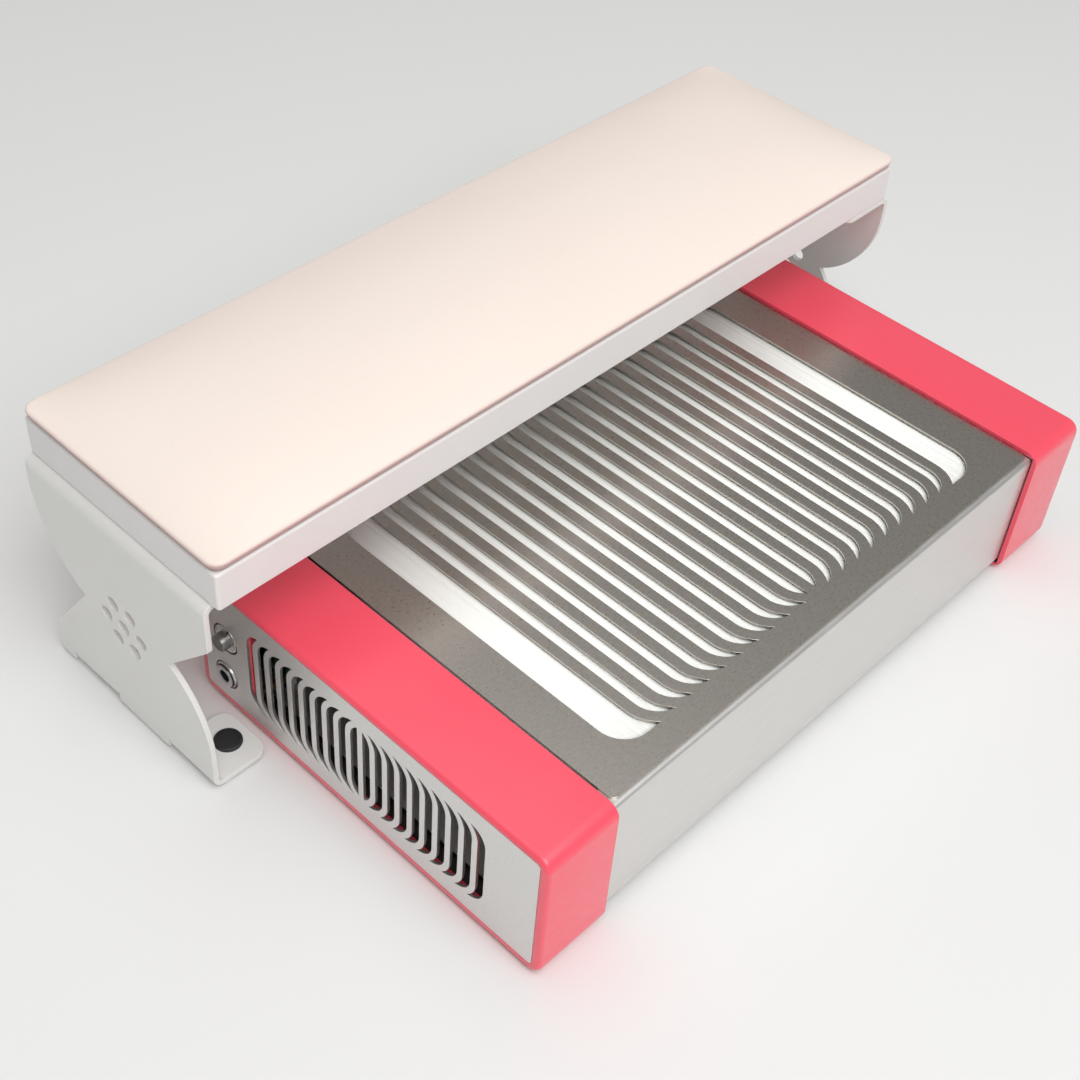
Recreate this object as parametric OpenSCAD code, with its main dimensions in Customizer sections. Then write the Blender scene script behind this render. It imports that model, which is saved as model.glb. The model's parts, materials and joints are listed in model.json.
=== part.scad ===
// Table-top nail dust collector with a padded arm rest that stands over it.
// Origin: middle of the footprint, on the table. +X is to the right, +Y to the back, +Z up.

/* [Arm rest] */
// Length of the board and its cushion
board_l = 404; // [404:1:420]
// Depth of the board and its cushion
board_d = 116; // [112:1:124]
// Thickness of the board
board_t = 18; // [15:1:20]
// Height of the board's underside above the table
board_z = 112; // [112:1:125]
// Height of the cushion's crown above the board
pad_h = 14; // [12:1:20]
// Thickness of the bracket sheet
sheet_t = 2.5; // [2:0.5:3]
// How far the foot tabs reach inwards, from the bracket's outer face
tab_l = 28; // [24:0.5:28]
// Radius of the rubber foot plugs
plug_r = 6.1; // [5:0.1:7]

/* [Collector] */
// Length over the two end caps
case_l = 350; // [346:1:350]
// Depth from front to back
case_d = 198; // [194:1:206]
// Height of the end caps
case_h = 70.3; // [70:0.1:72]
// Height of the rubber feet
feet_h = 1.5; // [1:0.1:2]
// Length of each end cap
cap_l = 36.5; // [36:0.5:38]
// Distance of the collector's middle to the right of the arm rest's middle
case_x = 2; // [0:0.1:2]
// How far the collector's front stands before the board's front
case_forward = 138; // [130:1:142]

/* [Lid grille] */
// Width of a bar
bar_w = 5; // [4:0.1:5]
// Width of a narrow slot
slot_w = 5; // [4.5:0.1:5]
// Narrow slots on each side of the middle bar
slot_n = 10; // [8:1:10]
// Inner radius of a bar's curved end
bend_r = 12; // [10:0.5:13]
// Thickness of the lid
lid_t = 1; // [1:0.5:2]

/* [End grille] */
// Distance from one slot to the next
vent_pitch = 6.9; // [6.5:0.1:6.9]
// Width of a slot
vent_w = 4; // [3.5:0.1:4.2]
// Inner radius of a bar's curved end
vent_bend_r = 9; // [8:0.5:10]
// Thickness of the end plates
plate_t = 1.5; // [1:0.5:1.5]

/* [Fans] */
// Radius of an impeller
wheel_r = 54; // [50:1:56]
// Blades on an impeller
blade_n = 11; // [7:1:13]
// Distance of each fan from the collector's middle
fan_x = 64; // [62:1:66]

/* [Hidden] */
$fn = 64;
gap = 0.3;                                // clearance between loose neighbours
eps = 0.01;

// Arm rest, in the row's frame
total_d = case_forward + board_d;
case_y = -total_d / 2;                    // collector's front
board_y = case_y + case_forward;          // board's front
rest_mid_y = board_y + board_d / 2;
board_top = board_z + board_t;
side_gap = 1;                             // bracket's inner face to the board's end
bracket_x = board_l / 2 + side_gap + sheet_t;
flange_l = 33;
bend_out = 5;                             // outer radius of the bracket's folds
tab_z = 2;                                // underside of the foot tabs
tab_w = 29;
tab_y = [25.5, 90.5];                     // middles of the foot tabs, from the board's front
plug_x = 18;                              // plug's middle, from the bracket's outer face
relief_w = 1.2;                           // slit in the wall beside each foot tab's fold
flange_hole_x = 20;
flange_hole_y = [16, 44, 72, 100];
wood_screw_r = 1.75;
pad_base_t = 3;

// Bracket side outline: distance from the board's front, height above the table
wall_front = 5;
wall_back = board_d;
front_notch = [34, 58.5];
back_notch = [88, 56];
front_corner_z = 90;
back_corner_z = 17;
upper_lobe_r = 50;
upper_lobe_z = 101;
lower_lobe_r = 44;
lower_lobe_c = [55, 21.6];
lower_front = lower_lobe_c[0] - lower_lobe_r;
motif_c = [62, 57];                       // middle of the drilled ornament
motif_pitch = 11;
motif_r = 3.4;

// Collector, along X from its own middle and along Y from its own front
cap_x = case_l / 2 - cap_l;               // cap's inner edge
cap_r = 6;                                // long edges of a cap
cap_wall = 2.5;
cap_inner_r = 2.4;
end_wall = 3;
case_top = feet_h + case_h;
lid_top = case_top - 1.8;
lid_under = lid_top - lid_t;
panel_in = 2.8;                           // front panel stands this far behind the caps
chan_t = 1.2;
chan_z = feet_h + 4.1;                    // channel's underside
chan_r = 2;
chan_half = case_l / 2 - 14;
lip_w = 10;
floor_z = chan_z + chan_t;
lid_x = [2 - cap_x, cap_x - 0.6];          // the lid lies close to the right cap
lid_y = 5.2;
lid_r = 3;
grille_half = 117;
grille_y = 17.5;
grille_r = 13;
bend_y = 30;                              // where the bars start to curve

// End plates
plate_y = 4;
plate_z = [feet_h + 4.4, feet_h + 67.4];
plate_r = 2;
plate_mid_y = 97.8;
vent_n = 10;
vent_bar = vent_pitch - vent_w;
vent_half = vent_n * vent_pitch + vent_bar / 2 - vent_bar;
vent_z = [15, 60];
knob_y = 179.3;
knob_z = 43;
knob_hole_r = 7.5;
jack_y = 180.9;
jack_z = 20;
jack_hole_r = 7;
stud_y = [12, case_d - 12];
wall_out = case_l / 2 - plate_t;          // cap end wall's outer face
wall_in = wall_out - end_wall;

// Inside
deck_z = 40;
deck_t = 1.2;
deck_half = 134;
fan_y = case_d / 2;
inlet_r = 42;
filter_half = 123;
filter_y = 15;
seal_h = 6;
filter_z = deck_z + deck_t + seal_h;
filter_h = lid_under - 1 - filter_z;
filter_wall = 3;
pleat_pitch = 4.2;
pleat_drop = 2.4;                         // the paper's thickness, measured upright
wheel_z = 14;
wheel_h = 21;
shaft_r = 1.5;
run_fit = 0.04;
m3_r = 1.5;

// ---------- helpers ----------

// Rectangle with round corners, from its lowest corner
module round_rect(size, r) {
  translate([r, 0]) square([size[0] - 2 * r, size[1]]);
  translate([0, r]) square([size[0], size[1] - 2 * r]);
  for (x = [r, size[0] - r], y = [r, size[1] - r]) translate([x, y]) circle(r);
}

// Thin slab with round corners, centred in X and Y
module slab(l, d, z, h, r) {
  translate([-l / 2, -d / 2, z]) linear_extrude(h) round_rect([l, d], r);
}

// Points on an arc
function arc(c, r, a0, a1, n = 8) = [
  for (i = [0:n]) let (a = a0 + (a1 - a0) * i / n) c + r * [cos(a), sin(a)]
];

// A 2D outline in Y and Z, extruded along +X by h
module along_x(h) {
  multmatrix([[0, 0, 1, 0], [1, 0, 0, 0], [0, 1, 0, 0]]) linear_extrude(h) children();
}

// A 2D outline in X and Z, extruded along +Y by h
module along_y(h) {
  multmatrix([[1, 0, 0, 0], [0, 0, 1, 0], [0, 1, 0, 0]]) linear_extrude(h) children();
}

// A cylinder along +X
module rod_x(r, h) {
  rotate([0, 90, 0]) cylinder(r = r, h = h);
}

// A ring along +Z
module ring(r_out, r_in, h) {
  difference() {
    cylinder(r = r_out, h = h);
    translate([0, 0, -1]) cylinder(r = r_in, h = h + 2);
  }
}

// Places a collector piece, drawn from the collector's middle and front
module in_case() {
  translate([case_x, case_y, 0]) children();
}

// Places a piece on one side of the collector: -1 is left, 1 is right
module case_side(side) {
  in_case() scale([side, 1, 1]) children();
}

// Places a bracket piece: the left one is drawn, the right one is the same part turned round
module bracket_side(side) {
  translate([0, rest_mid_y, 0]) rotate(side < 0 ? 0 : 180)
    translate([-bracket_x, -board_d / 2, 0]) children();
}

// Cross-head screw along +Z, its head below z = 0
module pan_screw(r, l, head_r, head_h) {
  cylinder(r = r, h = l);
  difference() {
    translate([0, 0, -head_h]) cylinder(r = head_r, h = head_h);
    for (a = [0, 90]) rotate(a) translate([-head_r * 0.6, -0.4, -head_h - 1]) cube([head_r * 1.2, 0.8, 2]);
  }
}

// Wire along a list of points
module wire(points, r) {
  for (i = [0:len(points) - 2]) hull() {
    translate(points[i]) sphere(r, $fn = 10);
    translate(points[i + 1]) sphere(r, $fn = 10);
  }
}

// ---------- arm rest ----------

module cushion_pad() {
  color([0.96, 0.89, 0.85]) translate([0, rest_mid_y, 0]) difference() {
    hull() {
      slab(board_l - 4, board_d - 4, board_top, pad_h * 0.5, 4, $fn = 32);
      slab(board_l, board_d, board_top + 2, pad_h * 0.3, 5, $fn = 32);
      slab(board_l - 22, board_d - 22, board_top, pad_h * 0.86, 12, $fn = 32);
      slab(board_l - 90, board_d - 60, board_top, pad_h, 20, $fn = 32);
    }
    slab(board_l - 8, board_d - 8, board_top - 1, pad_base_t + 1, 3);
  }
}

// Where the screws go that hold the cushion's base down
cushion_hole_x = [for (i = [-1:1]) i * board_l * 0.36];
cushion_hole_y = [24, board_d - 24];
screw_bite = 2.4;                         // how far they go into the base

module cushion_base() {
  color([0.80, 0.66, 0.47]) difference() {
    translate([0, rest_mid_y, 0]) slab(board_l - 8, board_d - 8, board_top, pad_base_t, 3);
    for (x = cushion_hole_x, y = cushion_hole_y) translate([x, board_y + y, board_top - 1])
      cylinder(r = wood_screw_r, h = screw_bite + 1);
  }
}

module rest_board() {
  bevel = 0.8;
  color([0.93, 0.92, 0.90]) difference() {
    translate([0, rest_mid_y, 0]) hull() {
      slab(board_l, board_d, board_z + bevel, board_t - 2 * bevel, 1.5, $fn = 32);
      slab(board_l - 2 * bevel, board_d - 2 * bevel, board_z, board_t, 1.5, $fn = 32);
    }
    for (side = [-1, 1]) bracket_side(side) for (y = flange_hole_y)
      translate([flange_hole_x, y, board_z - 1]) cylinder(r = wood_screw_r, h = 14);
    for (x = cushion_hole_x, y = cushion_hole_y) translate([x, board_y + y, board_z - 1]) {
      cylinder(r = wood_screw_r, h = board_t + 2);
      cylinder(r = 4.2, h = 4);
    }
  }
}

// Side outline of the bracket: a waist between two lobes, on opposite sides
module bracket_outline() {
  intersection() {
    union() {
      polygon(concat(
        [[wall_front, board_z - bend_out]],
        arc([wall_front + 3, front_corner_z], 3, 180, 220, 4),
        [front_notch, back_notch, [wall_back, upper_lobe_z], [wall_back, board_z - bend_out]]
      ));
      translate([wall_back - upper_lobe_r, upper_lobe_z]) circle(upper_lobe_r, $fn = 128);
      polygon(concat(
        [[lower_front, tab_z], [lower_front, lower_lobe_c[1]], front_notch, back_notch],
        arc([wall_back - 6, back_corner_z], 6, 37, 0, 6),
        [[wall_back, tab_z]]
      ));
      translate(lower_lobe_c) circle(lower_lobe_r, $fn = 128);
    }
    translate([0, tab_z]) square([board_d, board_z - bend_out - tab_z]);
  }
}

// Quarter of a folded sheet, in X and Z, with its outer corner at the origin
module fold() {
  intersection() {
    square(bend_out);
    translate([bend_out, bend_out]) difference() {
      circle(bend_out);
      circle(bend_out - sheet_t);
    }
  }
}

module bracket() {
  along_x(sheet_t) difference() {
    bracket_outline();
    for (y = tab_y) translate([y - tab_w / 2 - relief_w, 0]) square([tab_w + 2 * relief_w, tab_z + bend_out]);
    for (a = [0:60:300]) translate(motif_c + motif_pitch * [cos(a), sin(a)]) circle(motif_r);
    translate(motif_c) circle(motif_r);
  }
  translate([0, wall_front, board_z]) mirror([0, 0, 1]) along_y(wall_back - wall_front) fold();
  for (y = tab_y) {
    translate([0, y - tab_w / 2, tab_z]) along_y(tab_w) fold();
    translate([bend_out, y - tab_w / 2, tab_z]) linear_extrude(sheet_t) difference() {
      union() {
        square([6, tab_w]);
        round_rect([tab_l - bend_out, tab_w], 6);
      }
      translate([plug_x - bend_out, tab_w / 2]) circle(3);
    }
  }
  translate([bend_out, wall_front, board_z - sheet_t]) linear_extrude(sheet_t) difference() {
    union() {
      square([6, wall_back - wall_front]);
      round_rect([flange_l - bend_out, wall_back - wall_front], 5);
    }
    for (y = flange_hole_y) translate([flange_hole_x - bend_out, y - wall_front]) circle(2);
  }
}

module left_bracket() {
  color([0.95, 0.95, 0.94]) bracket_side(-1) bracket();
}

module right_bracket() {
  color([0.95, 0.95, 0.94]) bracket_side(1) bracket();
}

module bracket_screws() {
  color([0.75, 0.75, 0.76]) for (side = [-1, 1], y = flange_hole_y) bracket_side(side)
    translate([flange_hole_x, y, board_z - sheet_t]) pan_screw(wood_screw_r, 14, 3.6, 2);
}

module cushion_screws() {
  color([0.75, 0.75, 0.76]) for (x = cushion_hole_x, y = cushion_hole_y)
    translate([x, board_y + y, board_z + 3]) pan_screw(wood_screw_r, board_t - 3 + screw_bite, 3.6, 2);
}

// Rubber plug: a foot under the tab, a neck in its hole and a domed head on top
module foot_plugs() {
  head_z = tab_z + sheet_t;
  color([0.08, 0.08, 0.09]) for (side = [-1, 1], y = tab_y) bracket_side(side)
    translate([plug_x, y, 0]) rotate_extrude() polygon(concat(
      [[0, 0], [5.6, 0], [plug_r, 0.5], [plug_r, tab_z], [3, tab_z], [3, head_z], [plug_r, head_z]],
      arc([plug_r - 1, head_z + 0.6], 1, 0, 70, 4),
      [[0, head_z + 2]]
    ));
}

// ---------- collector case ----------

// Bottom, front and back folded from one sheet, with lips that the lid rests on
module channel_outline() {
  w = case_d - 2 * panel_in;
  h = lid_under - chan_z;
  translate([panel_in, chan_z]) difference() {
    round_rect([w, h], chan_r);
    translate([chan_t, chan_t]) round_rect([w - 2 * chan_t, h - 2 * chan_t], chan_r - chan_t);
    translate([lip_w, h / 2]) square([w - 2 * lip_w, h]);
  }
}

cap_screw_x = cap_x + 12;
cap_screw_y = [30, case_d - 30];
deck_stud_x = deck_half - 10;
motor_screw_r = 21;

module case_channel() {
  color([0.80, 0.79, 0.77]) in_case() difference() {
    translate([-chan_half, 0, 0]) along_x(2 * chan_half) channel_outline();
    for (x = [-cap_screw_x, cap_screw_x], y = cap_screw_y) translate([x, y, 0]) cylinder(r = m3_r, h = 12);
    for (x = [-fan_x, fan_x], a = [90, 210, 330]) translate([x, fan_y, 0]) rotate(a)
      translate([motor_screw_r, 0, 0]) cylinder(r = m3_r, h = 12);
  }
}

module cap(with_controls) {
  cavity = [case_d - 2 * cap_wall, case_h - 2 * cap_wall];
  difference() {
    union() {
      difference() {
        translate([cap_x, 0, feet_h]) along_x(cap_l) round_rect([case_d, case_h], cap_r);
        translate([cap_x - 1, cap_wall, feet_h + cap_wall]) along_x(wall_in - cap_x + 1)
          round_rect(cavity, cap_inner_r);
      }
      for (y = cap_screw_y) translate([cap_screw_x, y, feet_h + cap_wall - 0.5])
        cylinder(r = 5, h = chan_z - feet_h - cap_wall + 0.5);
    }
    translate([wall_out, plate_y - 0.1, plate_z[0] - 0.1]) along_x(plate_t + 1)
      round_rect([case_d - 2 * plate_y + 0.2, plate_z[1] - plate_z[0] + 0.2], plate_r);
    translate([wall_in - 1, plate_mid_y - vent_half + 0.6, vent_z[0] - 2.8]) along_x(end_wall + 2)
      round_rect([2 * vent_half - 1.2, vent_z[1] - vent_z[0] + 5.3], 4);
    for (y = stud_y, z = stud_z(y)) translate([wall_in - 1, y, z]) rod_x(1.7, end_wall + 2);
    for (y = cap_screw_y) translate([cap_screw_x, y, feet_h - 1]) cylinder(r = 1.7, h = 8);
    for (y = cap_screw_y) translate([cap_screw_x, y, feet_h - 1]) cylinder(r = 3, h = 3.1);
    if (with_controls) {
      translate([wall_in - 1, knob_y, knob_z]) rod_x(3.6, end_wall + 2);
      translate([wall_out - 1.6, knob_y, knob_z]) rod_x(knob_hole_r + 0.4, 3);
      translate([wall_in - 1, jack_y, jack_z]) rod_x(5.6, end_wall + 2);
      translate([wall_out - 1, jack_y, jack_z]) rod_x(jack_hole_r - 0.3, 3);
    }
  }
}

// Heights of the studs: at the back they keep clear of the knob and the jack
function stud_z(y) = y > case_d / 2 ? [plate_z[0] + 3.6, plate_z[1] - 3.6] : [16, 60];

module left_cap() {
  color([0.95, 0.25, 0.36]) case_side(-1) cap(true);
}

module right_cap() {
  color([0.95, 0.25, 0.36]) case_side(1) cap(false);
}

// Upright stadium whose left side is at x = 0
module stadium(r, y0, y1) {
  translate([0, y0]) square([2 * r, y1 - y0]);
  for (y = [y0, y1]) translate([r, y]) circle(r, $fn = 96);
}

// One slot of a grille, w wide, between two bars. Its left side is at x = 0 and its ends bend to +X
// with inner radius r, from y0 and y1. The slot next to the middle bar is cut off straight by it.
module curved_slot(w, bar, y0, y1, r, innermost) {
  if (innermost) intersection() {
    stadium(r, y0, y1);
    translate([-1, y0 - r - 1]) square([w + 1, y1 - y0 + 2 * r + 2]);
  } else difference() {
    stadium(r, y0, y1);
    translate([w, 0]) stadium(r + bar, y0, y1);
  }
}

// Slots of a grille, mirrored about the middle bar
module slot_field(n, w, bar, y0, y1, r) {
  for (side = [-1, 1], i = [1:n]) scale([side, 1]) translate([bar / 2 - i * (w + bar), 0])
    curved_slot(w, bar, y0, y1, r, i == 1);
}

// Wide outer slot of the lid: square to the edge outside, and round the last bar inside
module edge_slot() {
  x_in = bar_w / 2 + slot_n * (slot_w + bar_w);
  difference() {
    intersection() {
      translate([-grille_half, grille_y]) round_rect([2 * grille_half, case_d - 2 * grille_y], grille_r);
      translate([-grille_half, 0]) square([grille_half - x_in + bend_r + bar_w, case_d]);
    }
    translate([-x_in, 0]) stadium(bend_r + bar_w, bend_y, case_d - bend_y);
  }
}

module grille_lid() {
  color([0.60, 0.58, 0.55]) in_case() translate([0, 0, lid_under]) linear_extrude(lid_t) difference() {
    translate([lid_x[0], lid_y]) round_rect([lid_x[1] - lid_x[0], case_d - 2 * lid_y], lid_r);
    slot_field(slot_n, slot_w, bar_w, bend_y, case_d - bend_y, bend_r);
    for (side = [-1, 1]) scale([side, 1]) edge_slot();
  }
}

// Strips welded under the lid, which keep it between the channel's lips
module lid_guides() {
  guide_l = 40;
  color([0.60, 0.58, 0.55]) in_case()
    for (x = [-80, 80], y = [panel_in + lip_w + gap, case_d - panel_in - lip_w - gap - chan_t])
      translate([x - guide_l / 2, y, lid_under - 5]) cube([guide_l, chan_t, 5]);
}

module end_plate_form(with_controls) {
  translate([wall_out, 0, 0]) along_x(plate_t) difference() {
    translate([plate_y, plate_z[0]])
      round_rect([case_d - 2 * plate_y, plate_z[1] - plate_z[0]], plate_r);
    translate([plate_mid_y, 0])
      slot_field(vent_n, vent_w, vent_bar, vent_z[0] + vent_bend_r, vent_z[1] - vent_bend_r, vent_bend_r);
    if (with_controls) {
      translate([knob_y, knob_z]) circle(knob_hole_r);
      translate([jack_y, jack_z]) circle(jack_hole_r);
    }
  }
}

module left_end_plate() {
  color([0.80, 0.79, 0.77]) case_side(-1) end_plate_form(true);
}

module right_end_plate() {
  color([0.80, 0.79, 0.77]) case_side(1) end_plate_form(false);
}

// Studs welded to the back of the end plates
module end_plate_studs() {
  color([0.75, 0.75, 0.76]) for (side = [-1, 1], y = stud_y) case_side(side) for (z = stud_z(y))
    translate([wall_in - 4, y, z]) rod_x(m3_r, end_wall + 4);
}

module end_plate_nuts() {
  color([0.75, 0.75, 0.76]) for (side = [-1, 1], y = stud_y) case_side(side) for (z = stud_z(y))
    translate([wall_in - 2.4, y, z]) rotate([0, 90, 0]) difference() {
      cylinder(r = 3.1, h = 2.4, $fn = 6);
      translate([0, 0, -1]) cylinder(r = m3_r, h = 5);
    }
}

module cap_screws() {
  color([0.75, 0.75, 0.76]) for (side = [-1, 1], y = cap_screw_y) case_side(side)
    translate([cap_screw_x, y, feet_h + 2.1]) pan_screw(m3_r, 7.4, 2.8, 1.7);
}

module case_feet() {
  foot_y = [18, case_d - 18];
  color([0.12, 0.12, 0.12]) for (side = [-1, 1], y = foot_y) case_side(side)
    translate([case_l / 2 - 16, y, 0]) cylinder(r1 = 7, r2 = 8, h = feet_h);
}

module lid_magnets() {
  lip_mid = panel_in + chan_t + (lip_w - chan_t) / 2;
  color([0.70, 0.70, 0.72]) in_case() for (x = [-120, 120], y = [lip_mid, case_d - lip_mid])
    translate([x, y, lid_under - chan_t - 2]) cylinder(r = 3.8, h = 2);
}

// ---------- inside the collector ----------

module fan_deck() {
  y0 = panel_in + chan_t + gap;
  d = case_d - 2 * y0;
  h = lid_under - gap - deck_z;
  color([0.72, 0.72, 0.70]) in_case() difference() {
    union() {
      translate([-deck_half, y0, deck_z]) cube([2 * deck_half, d, deck_t]);
      for (x = [-deck_half, deck_half - deck_t]) {
        translate([x, panel_in + lip_w + 1, deck_z]) cube([deck_t, case_d - 2 * (panel_in + lip_w + 1), h]);
      }
      for (x = [-deck_stud_x, deck_stud_x], y = [y0, y0 + d - deck_t])
        translate([x - 8, y, deck_z - 14]) cube([16, deck_t, 14 + eps]);
    }
    for (x = [-fan_x, fan_x]) translate([x, fan_y, deck_z - 1]) cylinder(r = inlet_r + 3, h = 4);
    for (x = [-deck_stud_x, deck_stud_x]) translate([x, -1, deck_z - 8]) rotate([-90, 0, 0])
      cylinder(r = m3_r, h = case_d + 2);
  }
}

// Weld studs on the channel's front and back walls, with nuts that hold the deck's ears
module deck_studs() {
  inner = panel_in + chan_t;
  color([0.75, 0.75, 0.76]) in_case() for (x = [-deck_stud_x, deck_stud_x], back = [0, 1])
    translate([x, back ? case_d : 0, deck_z - 8]) scale([1, back ? -1 : 1, 1])
      translate([0, inner, 0]) rotate([-90, 0, 0]) {
        cylinder(r = m3_r, h = 5);
        translate([0, 0, gap + deck_t]) cylinder(r = 2.9, h = 2.2, $fn = 6);
      }
}

module filter_seal() {
  color([0.20, 0.20, 0.21]) in_case() translate([0, fan_y, deck_z + deck_t])
    linear_extrude(seal_h) difference() {
      square([2 * filter_half, case_d - 2 * filter_y], center = true);
      square([2 * filter_half - 16, case_d - 2 * filter_y - 16], center = true);
    }
}

module filter_frame() {
  d = case_d - 2 * filter_y;
  color([0.95, 0.95, 0.94]) in_case() translate([0, fan_y, filter_z]) {
    linear_extrude(filter_h) difference() {
      translate([-filter_half, -d / 2]) round_rect([2 * filter_half, d], 2);
      square([2 * (filter_half - filter_wall), d - 2 * filter_wall], center = true);
    }
    for (y = [-d / 6, d / 6]) translate([-filter_half + 1, y - 1, 0]) cube([2 * filter_half - 2, 2, 1.6]);
  }
}

// Folded filter paper
module filter_pleats() {
  half = filter_half - filter_wall;
  d = case_d - 2 * filter_y - 2 * filter_wall;
  n = floor(2 * half / pleat_pitch);
  step = 2 * half / n;
  low = filter_z + 2;
  high = filter_z + filter_h - 0.6;
  top = [for (i = [0:2 * n]) [-half + i * step / 2, i % 2 == 0 ? low + pleat_drop : high]];
  under = [for (i = [2 * n:-1:0]) [-half + i * step / 2, i % 2 == 0 ? low : high - pleat_drop]];
  color([0.97, 0.97, 0.96]) in_case() translate([0, filter_y + filter_wall, 0]) along_y(d)
    polygon(concat(top, under));
}

// Places a fan piece; its own axis is Z
module fan_side(side) {
  in_case() translate([side * fan_x, fan_y, 0]) children();
}

module inlet_ring() {
  rotate_extrude() translate([inlet_r, 0]) polygon(concat(
    [[0, deck_z - 3], [2.7, deck_z - 3], [2.7, deck_z + deck_t], [8, deck_z + deck_t]],
    [[8, deck_z + deck_t + 1.5]],
    arc([3, deck_z + deck_t - 1.5], 3, 90, 180, 6)
  ));
}

module left_inlet_ring() {
  color([0.15, 0.15, 0.16]) fan_side(-1) inlet_ring();
}

module right_inlet_ring() {
  color([0.15, 0.15, 0.16]) fan_side(1) inlet_ring();
}

tube_r = 4.4;
bearing_r = 3.4;

// Motor's foot: a flange screwed to the floor and the tube that holds the bearings
module motor_mount() {
  difference() {
    union() {
      translate([0, 0, floor_z]) cylinder(r = 25, h = 2);
      translate([0, 0, floor_z]) cylinder(r = tube_r, h = 19.5);
    }
    translate([0, 0, floor_z + 1]) cylinder(r = bearing_r, h = 20);
    for (a = [90, 210, 330]) rotate(a) translate([motor_screw_r, 0, floor_z - 1]) cylinder(r = m3_r, h = 4);
  }
}

module left_motor_mount() {
  color([0.62, 0.63, 0.65]) fan_side(-1) motor_mount();
}

module right_motor_mount() {
  color([0.62, 0.63, 0.65]) fan_side(1) motor_mount();
}

// Iron core with its wound poles
module stator() {
  translate([0, 0, 12]) difference() {
    union() {
      cylinder(r = 7, h = 10);
      for (i = [0:8]) rotate(i * 40) {
        translate([6, -1.1, 1]) cube([6, 2.2, 8]);
        translate([7.2, -1.7, 0.2]) cube([3.4, 3.4, 9.6]);
        intersection() {
          translate([10, -3.6, 1]) cube([5, 7.2, 8]);
          ring(13.4, 11.6, 10);
        }
      }
    }
    translate([0, 0, -1]) cylinder(r = tube_r, h = 12);
  }
}

module left_stator() {
  color([0.72, 0.42, 0.22]) fan_side(-1) stator();
}

module right_stator() {
  color([0.72, 0.42, 0.22]) fan_side(1) stator();
}

module bearings() {
  for (z = [floor_z + 1.6, floor_z + 16.4]) translate([0, 0, z]) ring(bearing_r, shaft_r + run_fit, 3);
}

module left_bearings() {
  color([0.78, 0.78, 0.80]) fan_side(-1) bearings();
}

module right_bearings() {
  color([0.78, 0.78, 0.80]) fan_side(1) bearings();
}

module motor_screws() {
  color([0.75, 0.75, 0.76]) for (side = [-1, 1], a = [90, 210, 330]) fan_side(side) rotate(a)
    translate([motor_screw_r, 0, floor_z + 2]) mirror([0, 0, 1]) pan_screw(m3_r, 3.2, 2.7, 1.8);
}

// One backward-curved blade, from the hub to the rim
module blade() {
  blade_r = 42;
  linear_extrude(wheel_h - 2) intersection() {
    ring_flat(wheel_r - 1, 27);
    translate([18, -blade_r]) ring_flat(blade_r + 0.7, blade_r - 0.7);
    translate([18, -20]) square([40, 30]);
  }
}

module ring_flat(r_out, r_in) {
  difference() {
    circle(r_out, $fn = 96);
    circle(r_in, $fn = 96);
  }
}

cup_r = 18;
cup_top = 31;

// Wheel with a cup in its middle that covers the motor
module impeller() {
  translate([0, 0, wheel_z]) ring(wheel_r, cup_r - 1, 1.5);
  for (i = [0:blade_n - 1]) rotate(i * 360 / blade_n) translate([0, 0, wheel_z + 1]) blade();
  translate([0, 0, wheel_z + wheel_h - 1.5]) ring(wheel_r, inlet_r + 2, 1.5);
  difference() {
    translate([0, 0, wheel_z - 2]) cylinder(r = cup_r, h = cup_top - wheel_z + 2);
    translate([0, 0, wheel_z - 3]) cylinder(r = cup_r - 1.6, h = cup_top - wheel_z + 1);
    translate([0, 0, wheel_z]) cylinder(r = shaft_r, h = 20);
  }
}

module left_impeller() {
  color([0.16, 0.16, 0.18]) fan_side(-1) impeller();
}

module right_impeller() {
  color([0.16, 0.16, 0.18]) fan_side(1) impeller();
}

module left_magnet_ring() {
  color([0.30, 0.28, 0.27]) fan_side(-1) translate([0, 0, 12.6]) ring(cup_r - 1.6, 14, 9.5);
}

module right_magnet_ring() {
  color([0.30, 0.28, 0.27]) fan_side(1) translate([0, 0, 12.6]) ring(cup_r - 1.6, 14, 9.5);
}

module fan_shaft() {
  translate([0, 0, floor_z + 1.4]) cylinder(r = shaft_r, h = cup_top - floor_z - 1.4);
}

module left_shaft() {
  color([0.80, 0.80, 0.82]) fan_side(-1) fan_shaft();
}

module right_shaft() {
  color([0.80, 0.80, 0.82]) fan_side(1) fan_shaft();
}

// ---------- controls, drawn as if on the right side and placed on the left ----------

pot_shaft_r = 2;
skirt_x = wall_out - 0.6;
knob_bore = 4.5;
mark_turn = 20;                           // mark's angle from straight up, towards the front
board_x = wall_in - 14;                   // control board's outer face
board_y0 = 165;
board_w = 28;
pot_x = wall_in - 8.5;

module control_board() {
  color([0.10, 0.38, 0.22]) case_side(-1) {
    difference() {
      translate([board_x - 1.6, board_y0, 9]) cube([1.6, board_w, 50]);
      for (z = [12.5, 55.5]) translate([board_x - 3, board_y0 + 3.5, z]) rod_x(1.1, 5);
    }
    translate([board_x, board_y0 + 2, 28]) cube([4, 7, 9]);
    for (z = [18, 24, 50]) translate([board_x, board_y0 + 5.5, z]) rod_x(2.2, 6);
  }
}

module board_standoffs() {
  color([0.75, 0.70, 0.50]) case_side(-1) for (z = [12.5, 55.5])
    translate([board_x - 2.6, board_y0 + 3.5, z]) {
      rod_x(1.1, wall_in - board_x + 2.6);
      translate([2.6, 0, 0]) rod_x(2, wall_in - board_x - 2.6);
    }
}

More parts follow.
